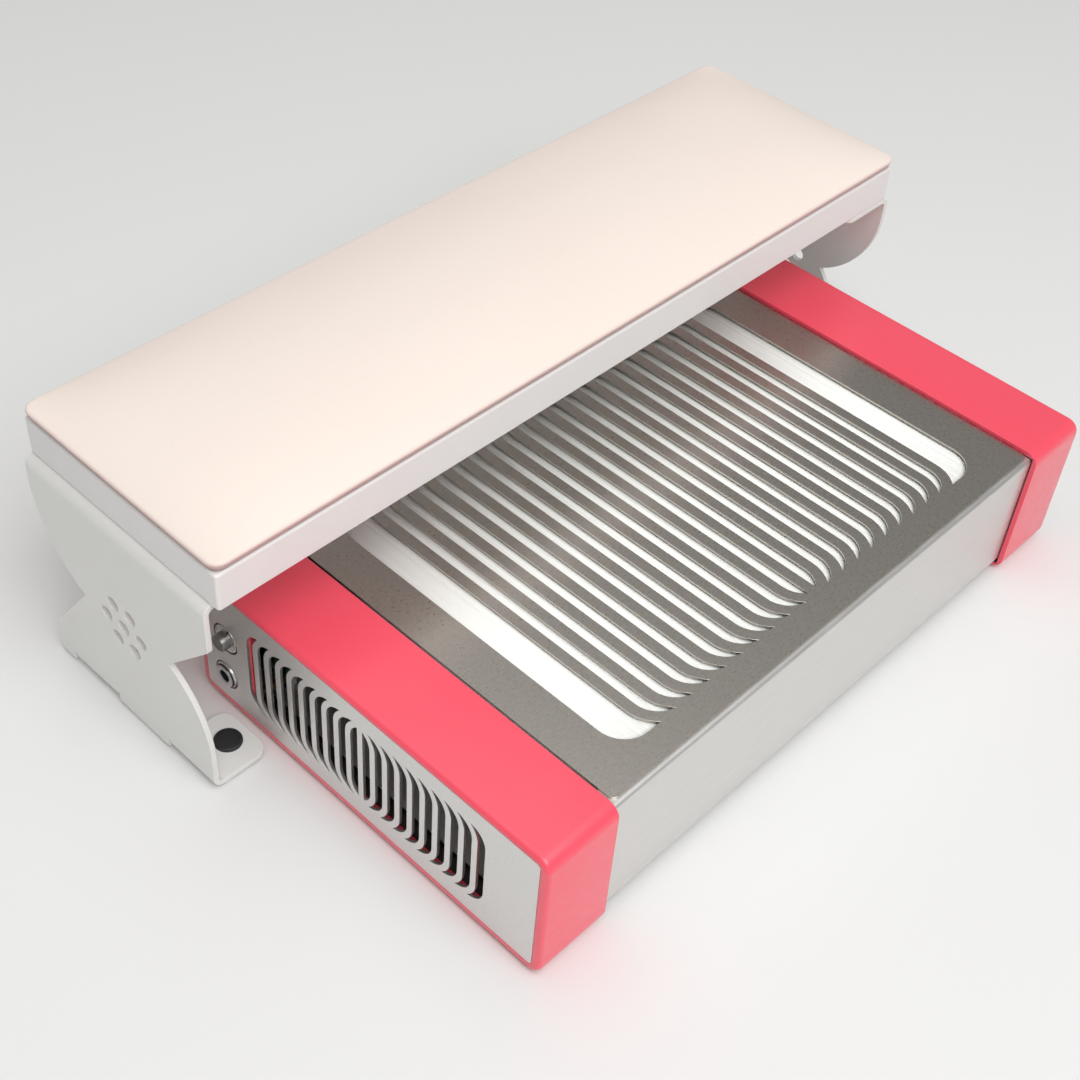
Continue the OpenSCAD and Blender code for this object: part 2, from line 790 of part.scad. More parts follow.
module potentiometer() {
  color([0.55, 0.56, 0.58]) case_side(-1) translate([0, knob_y, knob_z]) {
    difference() {
      union() {
        translate([pot_x - 0.5, 0, 0]) rod_x(7.2, wall_in - pot_x + 0.5);
        translate([wall_in - eps, 0, 0]) rod_x(3.5, end_wall - 1.2);
      }
      translate([pot_x + 2, 0, 0]) rod_x(pot_shaft_r + run_fit, 20);
    }
    translate([board_x, -3, -8]) cube([pot_x - board_x, 6, 16]);
  }
}

// Shaft that turns in the potentiometer and carries the knob
module pot_shaft() {
  color([0.80, 0.80, 0.82]) case_side(-1) translate([pot_x + 2.5, knob_y, knob_z])
    rod_x(pot_shaft_r, skirt_x + knob_bore - pot_x - 2.6);
}

// Nut that clamps the potentiometer in the cap's wall
module pot_nut() {
  color([0.75, 0.75, 0.76]) case_side(-1) translate([wall_out - 1.55, knob_y, knob_z])
    rotate([0, 90, 0]) difference() {
      cylinder(r = 5, h = 0.5, $fn = 6);
      translate([0, 0, -1]) cylinder(r = 3.55, h = 5);
    }
}

// Knob with a skirt, turned so that its mark points up and a little to the front
module speed_knob() {
  color([0.70, 0.70, 0.70]) case_side(-1) translate([skirt_x, knob_y, knob_z]) difference() {
    union() {
      rod_x(6.9, 1.9);
      rod_x(5.1, 2.3);
      rod_x(4, 6.2);
    }
    translate([-1, 0, 0]) rod_x(pot_shaft_r, knob_bore + 1);
    rotate([mark_turn, 0, 0]) translate([1.4, -0.4, 5.2]) cube([2, 0.8, 3]);
  }
}

module dc_jack() {
  color([0.10, 0.10, 0.11]) case_side(-1) translate([0, jack_y, jack_z]) {
    difference() {
      union() {
        translate([wall_in - 9, 0, 0]) rod_x(6.6, 9);
        translate([wall_in - eps, 0, 0]) rod_x(5.4, end_wall + 2.6);
      }
      translate([wall_in - 5, 0, 0]) rod_x(2.8, 20);
    }
    translate([wall_in - 5.5, 0, 0]) rod_x(1.05, 8);
  }
}

module jack_nut() {
  color([0.75, 0.75, 0.76]) case_side(-1) translate([wall_out - 0.98, jack_y, jack_z]) difference() {
    rod_x(6.4, 3.1);
    translate([-1, 0, 0]) rod_x(5.45, 6);
    for (a = [0, 90]) rotate([a, 0, 0]) translate([2.5, -0.6, -7]) cube([1, 1.2, 14]);
  }
}

// ---------- leads inside the case, from the motors and the jack to the control board ----------

lead_r = 1;
lead_z = floor_z + lead_r + 0.2;
lead_y = case_d - 14;

module left_motor_leads() {
  color([0.70, 0.10, 0.10]) in_case() wire([
    [-fan_x - 26.5, fan_y + 4, lead_z], [-fan_x - 50, fan_y + 30, lead_z],
    [-deck_half, lead_y - 12, lead_z], [-board_x + 6, board_y0 + 12, 12], [-board_x + 2.8, board_y0 + 12, 16]
  ], lead_r);
}

module right_motor_leads() {
  color([0.70, 0.10, 0.10]) in_case() wire([
    [fan_x - 4, fan_y + 26.5, lead_z], [fan_x - 10, lead_y - 16, lead_z], [fan_x - 30, lead_y, lead_z],
    [-deck_half, lead_y, lead_z], [-board_x + 6, board_y0 + 20, 12], [-board_x + 2.8, board_y0 + 20, 16]
  ], lead_r);
}

module jack_leads() {
  back = wall_in - 9;
  color([0.10, 0.10, 0.10]) case_side(-1) wire([
    [back - 1.05, jack_y - 2, jack_z], [back - 3, jack_y - 6, jack_z + 5],
    [board_x + 1.05, board_y0 + 13, jack_z + 9]
  ], lead_r);
}

// ---------- nodes ----------

cushion_pad();
cushion_base();
rest_board();
left_bracket();
right_bracket();
bracket_screws();
cushion_screws();
foot_plugs();
case_channel();
left_cap();
right_cap();
left_end_plate();
right_end_plate();
end_plate_studs();
end_plate_nuts();
cap_screws();
case_feet();
lid_magnets();
fan_deck();
deck_studs();
filter_seal();
left_inlet_ring();
right_inlet_ring();
left_motor_mount();
right_motor_mount();
left_stator();
right_stator();
left_bearings();
right_bearings();
motor_screws();
left_impeller();
right_impeller();
left_magnet_ring();
right_magnet_ring();
left_shaft();
right_shaft();
control_board();
board_standoffs();
potentiometer();
pot_nut();
pot_shaft();
speed_knob();
dc_jack();
jack_nut();
left_motor_leads();
right_motor_leads();
jack_leads();
grille_lid();
lid_guides();
filter_frame();
filter_pleats();
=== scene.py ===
"""The looks of a table-top nail dust collector and its padded arm rest.

Rolled edges, upholstery, finishes and light go on here; every size and place comes from the frame.
"""

import json
import math

import bmesh
import bpy
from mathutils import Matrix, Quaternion, Vector

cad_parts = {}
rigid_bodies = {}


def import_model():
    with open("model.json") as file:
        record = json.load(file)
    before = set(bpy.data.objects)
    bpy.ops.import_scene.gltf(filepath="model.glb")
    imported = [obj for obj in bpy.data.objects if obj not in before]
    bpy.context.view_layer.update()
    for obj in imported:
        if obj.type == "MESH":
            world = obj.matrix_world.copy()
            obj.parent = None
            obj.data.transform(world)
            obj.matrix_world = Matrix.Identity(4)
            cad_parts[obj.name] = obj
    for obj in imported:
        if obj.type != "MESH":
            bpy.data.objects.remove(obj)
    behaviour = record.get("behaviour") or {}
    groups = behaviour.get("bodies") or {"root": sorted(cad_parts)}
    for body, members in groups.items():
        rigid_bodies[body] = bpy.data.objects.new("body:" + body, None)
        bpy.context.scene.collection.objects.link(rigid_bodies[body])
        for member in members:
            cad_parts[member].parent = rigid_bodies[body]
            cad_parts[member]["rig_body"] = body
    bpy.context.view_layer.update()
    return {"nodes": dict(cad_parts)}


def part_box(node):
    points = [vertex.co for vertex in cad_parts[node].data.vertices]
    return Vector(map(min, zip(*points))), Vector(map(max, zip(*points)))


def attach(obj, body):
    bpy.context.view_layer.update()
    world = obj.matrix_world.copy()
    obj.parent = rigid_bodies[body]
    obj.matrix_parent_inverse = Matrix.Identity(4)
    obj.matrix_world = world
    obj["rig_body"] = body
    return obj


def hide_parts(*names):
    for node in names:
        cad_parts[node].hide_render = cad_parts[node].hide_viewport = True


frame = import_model()

MM = 0.001


# ---------- camera ----------

CAMERA_AT = Vector((-0.4293, -0.3316, 0.5479))
CAMERA_AIM = Vector((-0.0589, -0.0120, 0.0700))
CAMERA_ROLL = math.radians(4.74)
LENS_MM = 55.45


def make_camera():
    """The viewpoint: before the table's edge, to the left and above, with the head tipped a little."""
    data = bpy.data.cameras.new("camera")
    data.lens = LENS_MM
    data.sensor_width = 36
    data.clip_start = 0.02
    data.clip_end = 50
    camera = bpy.data.objects.new("camera", data)
    bpy.context.scene.collection.objects.link(camera)
    camera.location = CAMERA_AT
    camera.rotation_mode = "QUATERNION"
    level = (CAMERA_AIM - CAMERA_AT).to_track_quat("-Z", "Y")
    camera.rotation_quaternion = level @ Quaternion((0, 0, 1), CAMERA_ROLL)
    bpy.context.scene.camera = camera


# ---------- finishes ----------

SOCKETS = {
    "metallic": "Metallic",
    "specular": "Specular IOR Level",
    "coat": "Coat Weight",
    "coat_roughness": "Coat Roughness",
    "sheen": "Sheen Weight",
    "sheen_roughness": "Sheen Roughness",
    "subsurface": "Subsurface Weight",
}


class Finish:
    """A material: one Principled shader, and the textures that vary it over the piece, in metres."""

    def __init__(self, name, colour, roughness, **sockets):
        self.material = bpy.data.materials.new(name)
        self.material.use_nodes = True
        self.tree = self.material.node_tree
        self.shader = self.tree.nodes["Principled BSDF"]
        self.shader.inputs["Base Color"].default_value = (*colour, 1)
        self.shader.inputs["Roughness"].default_value = roughness
        for key, value in sockets.items():
            self.shader.inputs[SOCKETS[key]].default_value = value
        self.place = self.tree.nodes.new("ShaderNodeTexCoord").outputs["Object"]

    def add(self, kind, **inputs):
        """A node of that kind, with its inputs linked or set."""
        node = self.tree.nodes.new(kind)
        for key, value in inputs.items():
            socket = node.inputs[key]
            if isinstance(value, bpy.types.NodeSocket):
                self.tree.links.new(value, socket)
            else:
                socket.default_value = value
        return node

    def scaled(self, size, stretch):
        scale = [1 / (size * s) for s in stretch]
        return self.add("ShaderNodeMapping", Vector=self.place, Scale=scale).outputs["Vector"]

    def clouds(self, size, stretch=(1, 1, 1), detail=3.0):
        """Soft noise with features about size metres across, drawn out along each axis by stretch."""
        place = self.scaled(size, stretch)
        return self.add("ShaderNodeTexNoise", Vector=place, Scale=1.0, Detail=detail).outputs[0]

    def cells(self, size, stretch=(1, 1, 1)):
        """Distance from the middle of the nearest cell, for a pebbled grain."""
        place = self.scaled(size, stretch)
        return self.add("ShaderNodeTexVoronoi", Vector=place, Scale=1.0).outputs["Distance"]

    def along(self, axis, low, high):
        """0 below low and 1 above high, along one axis."""
        value = self.add("ShaderNodeSeparateXYZ", Vector=self.place).outputs[axis]
        return self.ranged(value, low, high, 0.0, 1.0)

    def ranged(self, value, low, high, to_low, to_high):
        inputs = {"Value": value, "From Min": low, "From Max": high, "To Min": to_low, "To Max": to_high}
        return self.add("ShaderNodeMapRange", **inputs).outputs["Result"]

    def product(self, first, second):
        node = self.tree.nodes.new("ShaderNodeMath")
        node.operation = "MULTIPLY"
        self.tree.links.new(first, node.inputs[0])
        self.tree.links.new(second, node.inputs[1])
        return node.outputs[0]

    def colours(self, share, first, second):
        """A mix of two colours, or of a colour and a colour output."""
        node = self.tree.nodes.new("ShaderNodeMix")
        node.data_type = "RGBA"
        self.tree.links.new(share, node.inputs["Factor"])
        for socket, colour in ((node.inputs[6], first), (node.inputs[7], second)):
            if isinstance(colour, bpy.types.NodeSocket):
                self.tree.links.new(colour, socket)
            else:
                socket.default_value = (*colour, 1)
        return node.outputs[2]

    def tint(self, share, first, second):
        colour = self.colours(share, first, second)
        self.tree.links.new(colour, self.shader.inputs["Base Color"])
        return colour

    def rough(self, value, low, high):
        self.tree.links.new(self.ranged(value, 0.3, 0.7, low, high), self.shader.inputs["Roughness"])

    def bump(self, value, depth):
        """Raises the surface by up to depth metres; calls add up."""
        node = self.add("ShaderNodeBump", Height=value, Distance=depth)
        normal = self.shader.inputs["Normal"]
        if normal.is_linked:
            self.tree.links.new(normal.links[0].from_socket, node.inputs["Normal"])
        self.tree.links.new(node.outputs["Normal"], normal)


def powder_coat(name, colour, deep, roughness, gloss=0.0):
    """Baked powder paint: a fine orange peel, and a colour that is a little deeper in places."""
    finish = Finish(name, colour, roughness, specular=0.5, coat=gloss, coat_roughness=0.28)
    finish.paint = finish.tint(finish.clouds(0.03, detail=2.0), colour, deep)
    finish.rough(finish.clouds(0.004), roughness - 0.05, roughness + 0.05)
    finish.bump(finish.clouds(0.0009, detail=1.0), 0.00002)
    finish.bump(finish.clouds(0.00035, detail=0.0), 0.000006)
    return finish


def satin_steel():
    """Rolled sheet with a fine grain drawn out along X."""
    finish = Finish("satin_steel", (0.74, 0.73, 0.715), 0.42, metallic=1.0)
    grain = finish.clouds(0.0006, (30, 1, 1), detail=2.0)
    finish.tint(finish.ranged(grain, 0.25, 0.75, 0.0, 1.0), (0.68, 0.67, 0.655), (0.77, 0.76, 0.745))
    finish.rough(grain, 0.40, 0.48)
    finish.bump(grain, 0.000006)
    return finish


def grained_steel():
    """Stainless sheet ground with short strokes that cross each other: fine even mottling and no gloss."""
    finish = Finish("grained_steel", (0.52, 0.49, 0.45), 0.30, metallic=1.0)
    strokes = [finish.clouds(0.0007, stretch, detail=1.0) for stretch in ((3.5, 1, 1), (1, 3.5, 1))]
    grain = finish.product(*[finish.ranged(stroke, 0.25, 0.75, 0.55, 1.0) for stroke in strokes])
    finish.tint(finish.ranged(grain, 0.4, 0.85, 0.0, 1.0), (0.49, 0.46, 0.42), (0.55, 0.52, 0.475))
    finish.rough(strokes[0], 0.27, 0.33)
    finish.bump(grain, 0.000003)
    return finish


def coral_coat():
    """The end caps' glossy paint. Inside the caps the colour is near black: painted shade for the dark
    cavity behind the grille slots.
    """
    finish = powder_coat("coral_powder_coat", (0.94, 0.085, 0.135), (0.92, 0.072, 0.122), 0.38, gloss=0.6)
    low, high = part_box("left_cap")
    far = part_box("right_cap")[1].x
    skin = 2.2 * MM
    end_wall = 4.2 * MM
    step = 0.3 * MM
    shaded_inside = finish.along("X", low.x + end_wall, low.x + end_wall + step)
    for axis, edge, way in (
        ("X", far - end_wall, -1), ("Y", low.y + skin, 1), ("Y", high.y - skin, -1),
        ("Z", low.z + skin, 1), ("Z", high.z - skin, -1),
    ):
        shaded_inside = finish.product(shaded_inside, finish.along(axis, edge, edge + way * step))
    # Painted shade: the cap's inner faces are coloured near black, for the shade inside the cap behind its
    # slots.
    finish.tint(shaded_inside, finish.paint, (0.012, 0.010, 0.010))
    return finish


def plain_metal(name, colour, roughness, grain_depth=0.00001):
    finish = Finish(name, colour, roughness, metallic=1.0)
    wear = finish.clouds(0.002, detail=4.0)
    finish.tint(wear, [c * 0.82 for c in colour], colour)
    finish.rough(wear, roughness - 0.06, roughness + 0.1)
    finish.bump(finish.clouds(0.0004, detail=2.0), grain_depth)
    return finish


def moulded(name, colour, roughness, grain_depth=0.00002):
    """Moulded plastic or rubber with a fine eroded skin."""
    finish = Finish(name, colour, roughness)
    clouds = finish.clouds(0.005, detail=3.0)
    finish.tint(clouds, [c * 0.8 for c in colour], [min(1, c * 1.15) for c in colour])
    finish.rough(clouds, roughness - 0.05, roughness + 0.07)
    finish.bump(finish.clouds(0.0006, detail=2.0), grain_depth)
    return finish


def leatherette():
    """Pale pink upholstery vinyl: a pebbled grain, soft creases, and painted shade that darkens its side
    band down to the board.
    """
    vinyl = {"specular": 0.4, "sheen": 0.12, "sheen_roughness": 0.4}
    finish = Finish("blush_leatherette", (0.86, 0.74, 0.66), 0.5, **vinyl)
    hide = finish.tint(finish.clouds(0.09, detail=2.0), (0.88, 0.765, 0.69), (0.90, 0.80, 0.73))
    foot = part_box("cushion_pad")[0].z
    # Painted shade: the side band under the pad's edge is coloured darker, darkest where it meets the board.
    painted_shade_fade = finish.along("Z", foot + 3.4 * MM, foot + 5.3 * MM)
    side = finish.colours(finish.along("Z", foot, foot + 3 * MM), (0.36, 0.20, 0.19), (0.62, 0.42, 0.40))
    finish.tint(painted_shade_fade, side, hide)
    finish.rough(finish.clouds(0.003), 0.44, 0.56)
    finish.bump(finish.clouds(0.035, detail=3.0), 0.00025)
    finish.bump(finish.cells(0.0009), 0.00004)
    finish.bump(finish.clouds(0.0003, detail=1.0), 0.00001)
    return finish


def board_paint():
    finish = Finish("white_board", (0.82, 0.80, 0.79), 0.42)
    finish.tint(finish.clouds(0.05, detail=2.0), (0.80, 0.775, 0.765), (0.83, 0.81, 0.80))
    finish.rough(finish.clouds(0.006), 0.38, 0.48)
    finish.bump(finish.clouds(0.0012, detail=2.0), 0.000025)
    return finish


def plywood():
    finish = Finish("plywood", (0.60, 0.44, 0.28), 0.7)
    rings = finish.clouds(0.004, (12, 1, 1), detail=5.0)
    finish.tint(rings, (0.42, 0.28, 0.16), (0.66, 0.50, 0.33))
    finish.bump(rings, 0.0001)
    return finish


def filter_paper():
    """White filter paper: matted fibres and faint clouding."""
    finish = Finish("filter_paper", (0.93, 0.93, 0.90), 0.9, specular=0.2, sheen=0.1)
    finish.tint(finish.clouds(0.008, (1, 3, 1), detail=4.0), (0.91, 0.915, 0.88), (0.95, 0.955, 0.925))
    finish.bump(finish.clouds(0.0005, (1, 5, 1), detail=3.0), 0.00005)
    return finish


def foam():
    finish = Finish("grey_foam", (0.07, 0.07, 0.075), 0.95, specular=0.1)
    pores = finish.cells(0.0012)
    finish.tint(pores, (0.03, 0.03, 0.033), (0.12, 0.12, 0.125))
    finish.bump(pores, 0.0003)
    return finish


def winding():
    """Enamelled copper wire, wound tight."""
    finish = Finish("copper_winding", (0.60, 0.25, 0.10), 0.3, metallic=1.0, coat=0.4)
    turns = finish.tree.nodes.new("ShaderNodeTexWave")
    turns.bands_direction = "Z"
    turns.inputs["Scale"].default_value = 1
    finish.tree.links.new(finish.scaled(0.0035, (1, 1, 1)), turns.inputs["Vector"])
    finish.tint(turns.outputs[0], (0.30, 0.10, 0.04), (0.72, 0.33, 0.14))
    finish.bump(turns.outputs[0], 0.0001)
    return finish


def circuit_board():
    """Very dark green lacquered board with faint copper tracks under it."""
    finish = Finish("circuit_board", (0.004, 0.022, 0.010), 0.35, coat=0.3)
    tracks = finish.tree.nodes.new("ShaderNodeTexBrick")
    tracks.inputs["Scale"].default_value = 1
    tracks.inputs["Mortar Size"].default_value = 0.06
    tracks.inputs["Color1"].default_value = (0.003, 0.018, 0.008, 1)
    tracks.inputs["Color2"].default_value = (0.004, 0.024, 0.011, 1)
    tracks.inputs["Mortar"].default_value = (0.010, 0.050, 0.024, 1)
    finish.tree.links.new(finish.scaled(0.004, (1, 1, 1)), tracks.inputs["Vector"])
    finish.tree.links.new(tracks.outputs[0], finish.shader.inputs["Base Color"])
    finish.bump(tracks.outputs[1], 0.00003)
    return finish


def make_finishes():
    """Every material, by the record's slot name."""
    made = [
        leatherette(),
        plywood(),
        board_paint(),
        powder_coat("white_powder_coat", (0.80, 0.80, 0.775), (0.77, 0.765, 0.74), 0.42),
        coral_coat(),
        satin_steel(),
        grained_steel(),
        plain_metal("zinc_steel", (0.68, 0.68, 0.69), 0.35),
        moulded("black_rubber", (0.018, 0.018, 0.019), 0.55, grain_depth=0.00003),
        foam(),
        moulded("white_plastic", (0.80, 0.80, 0.77), 0.45),
        filter_paper(),
        moulded("black_plastic", (0.02, 0.02, 0.022), 0.4),
        plain_metal("cast_aluminium", (0.62, 0.63, 0.64), 0.5, 0.00004),
        winding(),
        plain_metal("bearing_steel", (0.72, 0.72, 0.74), 0.2),
        plain_metal("magnet", (0.20, 0.19, 0.185), 0.6),
        plain_metal("knob_metal", (0.74, 0.735, 0.73), 0.28),
        plain_metal("dark_knob_metal", (0.33, 0.325, 0.32), 0.38),
        circuit_board(),
        plain_metal("brass_plain", (0.42, 0.31, 0.15), 0.45),
        moulded("red_lead", (0.45, 0.02, 0.02), 0.45),
        moulded("black_lead", (0.02, 0.02, 0.02), 0.45),
    ]
    return {finish.material.name: finish.material for finish in made}


# ---------- pieces ----------

def new_piece(name, vertices, faces, body, slot, stands_for=(), look=None):
    """A mesh piece that rides on a body and takes a slot's finish, or another look of it."""
    mesh = bpy.data.meshes.new(name)
    mesh.from_pydata([tuple(v) for v in vertices], [], faces)
    mesh.validate()
    piece = bpy.data.objects.new(name, mesh)
    bpy.context.scene.collection.objects.link(piece)
    mesh.materials.append(finishes[look or slot])
    mesh.shade_smooth()
    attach(piece, body)
    if stands_for:
        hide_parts(*stands_for)
    return piece


def body_of(node):
    return frame["nodes"][node]["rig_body"]


def slot_of(node):
    return frame["nodes"][node].material_slots[0].material.name


def closed_skin(node):
    """A node's surface as one closed mesh, with each flat region made a single face."""
    skin = bmesh.new()
    skin.from_mesh(frame["nodes"][node].data)
    bmesh.ops.remove_doubles(skin, verts=skin.verts, dist=0.002 * MM)
    bmesh.ops.dissolve_limit(skin, angle_limit=math.radians(0.4), verts=skin.verts, edges=skin.edges)
    skin.normal_update()
    return skin


def piece_from(skin, node, name, slot):
    skin.verts.index_update()
    vertices = [v.co.copy() for v in skin.verts]
    faces = [[v.index for v in f.verts] for f in skin.faces]
    skin.free()
    return new_piece(name, vertices, faces, body_of(node), slot, [node])


def soften(piece, width, sharp=35):
    """Breaks every edge sharper than that angle, with a small round of that width."""
    bevel = piece.modifiers.new("edges", "BEVEL")
    bevel.width = width
    bevel.segments = 2
    bevel.limit_method = "ANGLE"
    bevel.angle_limit = math.radians(sharp)
    bevel.use_clamp_overlap = False
    bevel.harden_normals = True


def dress(node, width):
    """A visible CAD part with its sharp edges broken as the real part's are."""
    piece = piece_from(closed_skin(node), node, node + "_shell", SLOTS[node])
    soften(piece, width)


def dress_cap(node, outer_x):
    """An end cap: its outer rim is well rounded, and its other edges are only broken."""
    rim_round = 2.3 * MM
    rim_reach = 1.9 * MM
    skin = closed_skin(node)
    low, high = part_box(node)

    def on_rim(edge):
        middle = (edge.verts[0].co + edge.verts[1].co) / 2
        level = all(abs(v.co.x - outer_x) < 0.01 * MM for v in edge.verts)
        inset = min(middle.y - low.y, high.y - middle.y, middle.z - low.z, high.z - middle.z)
        return level and inset < rim_reach and edge.calc_face_angle(0) > math.radians(60)

    rim = [edge for edge in skin.edges if on_rim(edge)]
    bmesh.ops.bevel(
        skin, geom=rim, offset=rim_round, segments=5, profile=0.5, affect="EDGES", clamp_overlap=False,
    )
    piece = piece_from(skin, node, node + "_shell", SLOTS[node])
    soften(piece, 0.25 * MM)


# ---------- cushion ----------

EDGE_LINES = [step * MM for step in (0.8, 1.8, 3.2, 5.0, 7.5, 10.5, 14.0, 18.0)]


def grid_lines(half):
    """Places across the pad from one end to the other, close together near both ends."""
    spacing = 8 * MM
    inner = half - EDGE_LINES[-1]
    steps = round(2 * inner / spacing)
    between = [inner * (2 * i / steps - 1) for i in range(1, steps)]
    start = [inset - half for inset in EDGE_LINES]
    return start + between + [-place for place in reversed(start)]


def cushion_form():
    """The pad before it is stuffed: a recess for its base, undercut sides, a crisp edge and a long slope."""
    low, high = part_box("cushion_pad")
    base_low, base_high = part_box("cushion_base")
    middle = (low + high) / 2
    half_x = (high.x - low.x) / 2
    half_y = (high.y - low.y) / 2
    play = 0.15 * MM
    recess = base_low.x - low.x - play
    edge_h = 5.2 * MM
    crown_h = 13.0 * MM
    corner = EDGE_LINES[3]
    corner_reach = corner - EDGE_LINES[0]

    def rise(place, half):
        """Share of the crown's height there: steep at the edge and nearly level in the middle."""
        return 1 - (1 - min(half - abs(place), half_y) / half_y) ** 3.2

    def drawn_in(x, y):
        """Turns the grid's square corners into quarter circles."""
        a = (abs(x) - half_x + corner) / corner_reach
        b = (abs(y) - half_y + corner) / corner_reach
        if min(a, b) <= 0:
            return Vector((x, y))
        across = half_x - corner + corner_reach * a * math.sqrt(1 - b * b / 2)
        deep = half_y - corner + corner_reach * b * math.sqrt(1 - a * a / 2)
        return Vector((math.copysign(across, x), math.copysign(deep, y)))

    def way_out(point):
        """The direction straight out of the outline at a point of it."""
        core = Vector((
            max(corner - half_x, min(half_x - corner, point.x)),
            max(corner - half_y, min(half_y - corner, point.y)),
        ))
        return (point - core).normalized()

    # inset from the outline and height above the board, from the top edge down the side and into the recess
    side = [
        (-0.1 * MM, 5.1 * MM), (-0.7 * MM, 4.7 * MM), (-0.9 * MM, 4.1 * MM), (-0.7 * MM, 3.4 * MM),
        (-0.2 * MM, 2.3 * MM), (0.4 * MM, 1.1 * MM), (1.0 * MM, 0.3 * MM), (2.0 * MM, 0.02 * MM),
        (recess, 0.02 * MM), (recess, base_high.z - low.z + play),
    ]
    across, deep = grid_lines(half_x), grid_lines(half_y)
    columns, rows = len(across), len(deep)
    flat, vertices, faces = [], [], []
    for x in across:
        for y in deep:
            flat.append(drawn_in(x, y))
            level = edge_h + (crown_h - edge_h) * rise(x, half_x) * rise(y, half_y)
            vertices.append((middle.x + flat[-1].x, middle.y + flat[-1].y, low.z + level))
    for i in range(columns - 1):
        for j in range(rows - 1):
            a = i * rows + j
            faces.append((a, a + rows, a + rows + 1, a + 1))
    loop = [i * rows for i in range(columns - 1)] + [(columns - 1) * rows + j for j in range(rows - 1)]
    loop += [i * rows + rows - 1 for i in range(columns - 1, 0, -1)] + list(range(rows - 1, 0, -1))
    outline = [flat[i] for i in loop]
    upper = loop
    for inset, level in side:
        lower = list(range(len(vertices), len(vertices) + len(loop)))
        for point in outline:
            spot = point + way_out(point) * (EDGE_LINES[0] - inset)
            vertices.append((middle.x + spot.x, middle.y + spot.y, low.z + level))
        for i in range(len(loop)):
            j = (i + 1) % len(loop)
            faces.append((lower[i], lower[j], upper[j], upper[i]))
        upper = lower
    faces.append(tuple(reversed(upper)))
    return vertices, faces


def apply_modifiers(piece):
    """Makes the piece's mesh what its modifiers show, and drops them."""
    graph = bpy.context.evaluated_depsgraph_get()
    shown = bpy.data.meshes.new_from_object(piece.evaluated_get(graph))
    piece.modifiers.clear()
    piece.data = shown


STUFFING_FRAMES = 20


def stuff(piece, edge_z, most):
    """Cloth pressure swells the pad, by no more than most metres. All below its edge is tacked down."""
    rest = [v.co.copy() for v in piece.data.vertices]
    tacked = piece.vertex_groups.new(name="tacked")
    tacked.add([i for i, co in enumerate(rest) if co.z < edge_z], 1.0, "REPLACE")
    cloth = piece.modifiers.new("stuffing", "CLOTH")
    settings = cloth.settings
    settings.quality = 4
    settings.mass = 0.3
    settings.tension_stiffness = 25
    settings.compression_stiffness = 25
    settings.shear_stiffness = 12
    settings.bending_stiffness = 2
    settings.use_pressure = True
    settings.uniform_pressure_force = 4
    settings.vertex_group_mass = "tacked"
    settings.effector_weights.gravity = 0
    cloth.collision_settings.use_collision = False
    cloth.point_cache.frame_start = 1
    cloth.point_cache.frame_end = STUFFING_FRAMES
    for number in range(1, STUFFING_FRAMES + 1):
        bpy.context.scene.frame_set(number)
    apply_modifiers(piece)
    for vertex, before in zip(piece.data.vertices, rest):
        move = vertex.co - before
        if move.length > most:
            vertex.co = before + move * (most / move.length)
    bpy.context.scene.frame_set(1)


def make_cushion():
    """The upholstered pad: stuffed, its top calmed, and refined once."""
    vertices, faces = cushion_form()
    piece = new_piece("cushion", vertices, faces, "arm_rest", "blush_leatherette", ["cushion_pad"])
    foot_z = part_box("cushion_pad")[0].z
    stuff(piece, foot_z + 5.4 * MM, 1.2 * MM)
    upper = piece.vertex_groups.new(name="upper")
    upper.add([v.index for v in piece.data.vertices if v.co.z > foot_z + 6.5 * MM], 1.0, "REPLACE")
    calm = piece.modifiers.new("calm", "SMOOTH")
    calm.vertex_group = "upper"
    calm.factor = 0.5
    calm.iterations = 6
    finer = piece.modifiers.new("finer", "SUBSURF")
    finer.levels = 1
    finer.render_levels = 1
    apply_modifiers(piece)
    piece.data.shade_smooth()


# ---------- filter and controls ----------

def extruded(outline, along, start, end):
    """A closed prism over a flat outline. It runs on the axis along, and the outline is in the other two."""
    count = len(outline)
    vertices = [Vector(p[:along] + (level,) + p[along:]) for level in (start, end) for p in outline]
    faces = [(i, (i + 1) % count, count + (i + 1) % count, count + i) for i in range(count)]
    faces += [tuple(reversed(range(count))), tuple(range(count, 2 * count))]
    return vertices, faces


def make_filter_paper():
    """Pleats pressed side by side: nearly flat crests, a fine crease between them, and deep folds below."""
    low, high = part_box("filter_pleats")
    pleats = 57
    points = 10
    crease = 0.35 * MM
    paper = 0.6 * MM
    uneven = 0.12 * MM
    crest_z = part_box("filter_frame")[1].z - 0.05 * MM
    fold_z = low.z + 0.3 * MM
    pitch = (high.x - low.x) / pleats
    top = []
    for i in range(pleats * points + 1):
        share = abs(math.cos(math.pi * i / points))
        wander = uneven * math.sin(2.3 * (i // points)) * share
        top.append((low.x + pitch * i / points, crest_z - uneven - crease * (1 - share) ** 3 + wander))
    under = []
    for i in reversed(range(pleats)):
        middle = low.x + pitch * (i + 0.5)
        inner_z = crest_z - crease - 2 * paper
        under.append((middle + 0.48 * pitch, inner_z))
        under.append((middle, fold_z))
        under.append((middle - 0.48 * pitch, inner_z))
    vertices, faces = extruded(top + under, 1, low.y, high.y)
    piece = new_piece("pleated_paper", vertices, faces, "filter", "filter_paper", ["filter_pleats"])
    for end in (-1, -2):
        piece.data.polygons[len(faces) + end].use_smooth = False


